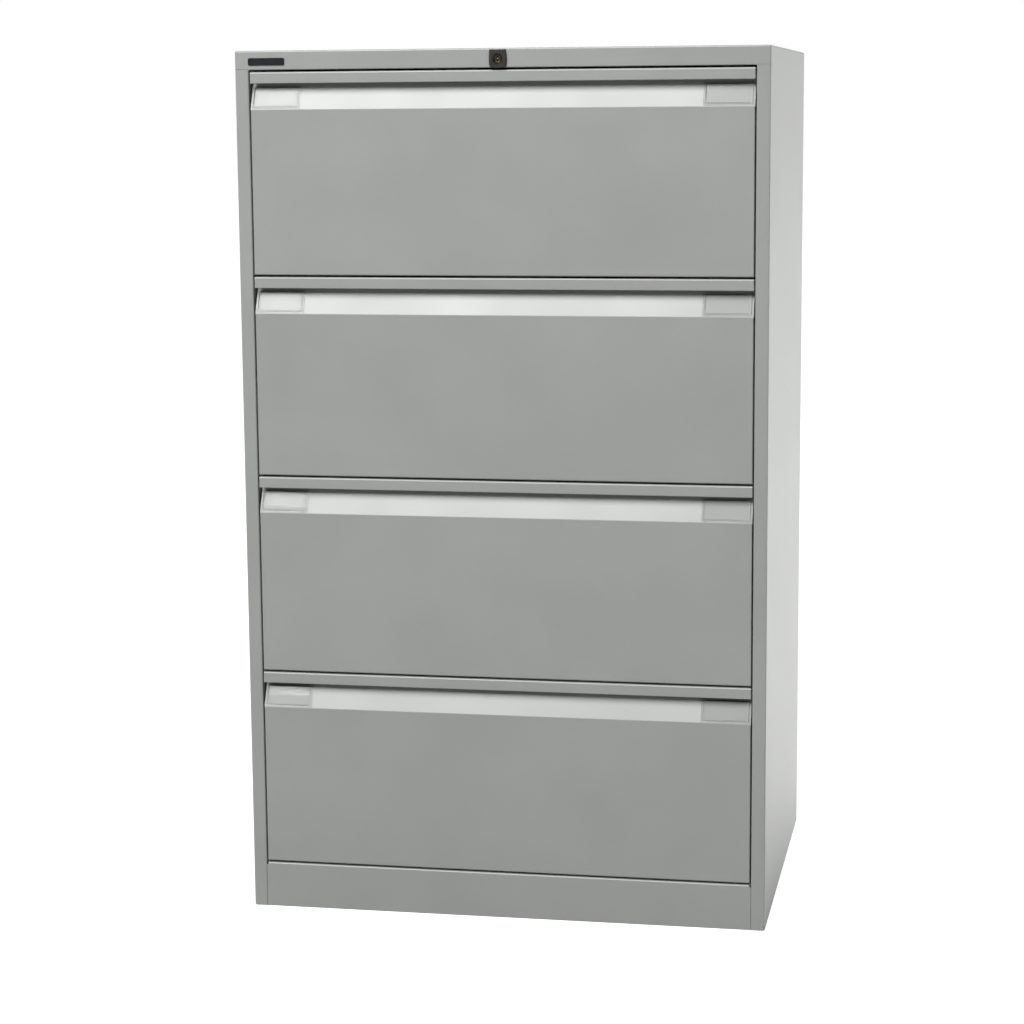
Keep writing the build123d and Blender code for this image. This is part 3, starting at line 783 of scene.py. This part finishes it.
def ball_rows(number):
    """Balls and their cages in the two raceways of each runner.

    They sit where the middle member stays inside the outer one and around the inner one at full travel.
    """
    low, high = box[f"runner_middle_{number}"]
    height = (low.z + high.z) / 2
    length = high.y - low.y
    runner_face, ball_spacing = 379.0 * MM, 11 * MM
    half_width, half_thick, spare = 2.6 * MM, 0.4 * MM, 5 * MM
    # of the outer and the inner raceway: half its height, where it starts and ends along the middle
    # member, and how far it lies in from the runner's face
    raceways = ((19.9 * MM, 0.55, 0.97, 7.0 * MM), (14.9 * MM, 0.03, 0.45, 8.0 * MM))
    balls, cages = [], bmesh.new()
    for _, sign in SIDES:
        lines = []
        for race, start, end, inset in raceways:
            x = sign * (runner_face - inset)
            first, last = low.y + start * length, low.y + end * length
            for level in (-1, 1):
                z = height + level * race
                lines.append(((x, first, z), (x, last, z)))
                block(
                    cages,
                    (x - half_width, first - spare, z - half_thick),
                    (x + half_width, last + spare, z + half_thick),
                )
        balls.append(set_out(steel_ball(), lines, ball_spacing, UP, polished_steel))
    bmesh.ops.bevel(cages, geom=cages.edges, offset=0.2 * MM, segments=1, affect="EDGES")
    body = f"runner_middle_{number}"
    put(f"runner_balls_{number}", joined(*balls), polished_steel, body)
    put(f"ball_cages_{number}", as_mesh("ball_cages", cages), zinc_along_y, body)


# ---------------------------------------------------------------- lock


def lock_plug():
    """Lock plug: a dished face behind the bezel, a keyway and the sprung shutter that closes it."""
    low, high = box["lock_cylinder"]
    centre = (low + high) / 2
    to_front = Matrix.Rotation(math.radians(90), 4, "X")
    radius, length = (high.x - low.x) / 2 / MM, (high.y - low.y) / MM
    rim = radius - 0.5
    # heights count forward from the plug's front face
    profile = [
        (radius, -length),
        (radius, -0.5),
        (rim, 0),
        (rim - 0.5, 0),
        (rim - 1.1, -0.9),
        (3.2, -1.3),
        (0, -1.4),
    ]
    shape = bmesh.new()
    lathe(shape, profile, 48, Matrix.Translation((centre.x, low.y, centre.z)) @ to_front)
    keyway = bmesh.new()
    half_width, half_height, front, back = 0.9 * MM, 4.2 * MM, low.y - 1 * MM, low.y + 14 * MM
    block(
        keyway,
        (centre.x - half_width, front, centre.z - half_height),
        (centre.x + half_width, back, centre.z + half_height),
    )
    mesh = cut(as_mesh("lock_plug", shape), as_mesh("keyway", keyway))
    put("lock_plug", mesh, black_nickel, "lock_core", ["lock_cylinder"], 30)

    shutter = bmesh.new()
    dome = [(1.05, -1.0), (1.05, -0.2), (0.85, 0.2), (0.45, 0.42), (0, 0.48)]
    inside_keyway = Matrix.Translation((centre.x, low.y + 1.5 * MM, centre.z + 0.5 * MM))
    lathe(shutter, dome, 24, inside_keyway @ to_front)
    put("keyway_shutter", as_mesh("keyway_shutter", shutter), polished_steel, "lock_core")


def dress_lock():
    """Finishes of the lock's moving bars."""
    finish("lock_cam", zinc_along_x)
    finish("lock_transfer_bar", zinc_along_x)
    finish("lock_bar", zinc_along_z)
    lock_plug()


# ---------------------------------------------------------------- studio

# How much light the floor returns, and how bright the studio is in front of the cabinet and behind it.
FLOOR_RETURN = 0.40
AIR_IN_FRONT = 0.10
WALL_BEHIND = 1.0


def studio_floor():
    """Wide pale floor that looks almost white and returns a little light to the cabinet."""
    material, tree, place = start_material("studio_floor")
    mottle = add(tree, "ShaderNodeTexNoise", {"Scale": per_size(900), "Detail": 3.0}, {"Vector": place})
    tint = add(tree, "ShaderNodeValToRGB", {"stops": ((0.0, "b8b8b8"), (1.0, "bebebe"))}, {"Fac": mottle})
    # painted light: seen only in reflections, the floor glows, more strongly behind the cabinet as though lit
    # there, so that is where reflections see it white
    across = add(tree, "ShaderNodeSeparateXYZ", links={"Vector": place})
    behind = add(
        tree,
        "ShaderNodeMapRange",
        {"From Min": -0.3, "From Max": 0.6, "To Min": 0.0, "To Max": 1.4},
        {"Value": across.outputs["Y"]},
    )
    lit = add(tree, "ShaderNodeBsdfDiffuse", links={"Color": tint})
    glow = add(tree, "ShaderNodeEmission", {"Strength": 0.88})
    shown = add(tree, "ShaderNodeAddShader", links={0: lit, 1: glow})
    returned = add(tree, "ShaderNodeBsdfDiffuse", {"Color": (FLOOR_RETURN,) * 3 + (1.0,)})
    painted_floor_glow = add(tree, "ShaderNodeEmission", links={"Strength": behind})
    mirrored = add(tree, "ShaderNodeAddShader", links={0: returned, 1: painted_floor_glow})
    path = add(tree, "ShaderNodeLightPath").outputs
    surface = returned
    for kind, shader in (("Is Glossy Ray", mirrored), ("Is Camera Ray", shown)):
        surface = add(tree, "ShaderNodeMixShader", links={0: path[kind], 1: surface, 2: shader})
    add(tree, "ShaderNodeOutputMaterial", links={"Surface": surface})
    shape = bmesh.new()
    bmesh.ops.create_grid(shape, x_segments=8, y_segments=8, size=40.0)
    mesh = bpy.data.meshes.new("floor")
    shape.to_mesh(mesh)
    shape.free()
    mesh.materials.append(material)
    floor = bpy.data.objects.new("floor", mesh)
    scene.collection.objects.link(floor)


def studio_air():
    """White studio: a bright wall behind the cabinet and dimmer air in front of it."""
    world = bpy.data.worlds.new("studio")
    scene.world = world
    world.use_nodes = True
    tree = world.node_tree
    tree.nodes.clear()
    white = (1.0, 1.0, 1.0, 1.0)
    direction = add(tree, "ShaderNodeTexCoord").outputs["Generated"]
    backward = add(tree, "ShaderNodeSeparateXYZ", links={"Vector": direction})
    glow = add(
        tree,
        "ShaderNodeMapRange",
        {"From Min": -0.1, "From Max": 0.6, "To Min": AIR_IN_FRONT, "To Max": WALL_BEHIND},
        {"Value": backward.outputs["Y"]},
    )
    seen = add(tree, "ShaderNodeBackground", {"Color": white, "Strength": 1.0})
    lit = add(tree, "ShaderNodeBackground", {"Color": white}, {"Strength": glow})
    path = add(tree, "ShaderNodeLightPath").outputs
    both = add(tree, "ShaderNodeMixShader", links={0: path["Is Camera Ray"], 1: lit, 2: seen})
    add(tree, "ShaderNodeOutputWorld", links={"Surface": both})


def soft_light(name, place, target, width, height, power):
    """Rectangular softbox aimed at a point."""
    lamp = bpy.data.lights.new(name, "AREA")
    lamp.shape = "RECTANGLE"
    lamp.size = width
    lamp.size_y = height
    lamp.energy = power
    holder = bpy.data.objects.new(name, lamp)
    scene.collection.objects.link(holder)
    holder.location = place
    holder.rotation_euler = (Vector(target) - Vector(place)).to_track_quat("-Z", "Y").to_euler()


def studio():
    """A tall key softbox high in front and a low one behind on the right, in a white studio."""
    studio_floor()
    studio_air()
    soft_light("key_softbox", (-3.09, -8.79, 10.10), (0.0, -0.3, 0.75), 3.6, 8.5, 1600)
    soft_light("rear_softbox", (5.2, 2.6, 0.4), (0.4, 0.0, 0.4), 3.0, 0.7, 95)


def camera():
    """Long lens a little right of the cabinet's middle, looking slightly down."""
    data = bpy.data.cameras.new("camera")
    data.lens = 89.79
    data.clip_end = 200.0
    holder = bpy.data.objects.new("camera", data)
    scene.collection.objects.link(holder)
    holder.location = (0.727, -4.035, 1.238)
    holder.rotation_euler = [math.radians(angle) for angle in (80.95, 0.44, 10.74)]
    scene.camera = holder


# ---------------------------------------------------------------- assembly

dress_carcase()
badge()
levelling_feet()
carcase_fittings()
plinth_returns()
for number in DRAWERS:
    dress_drawer(number)
    ball_rows(number)
dress_lock()
studio()
camera()
scene.view_settings.view_transform = "Standard"
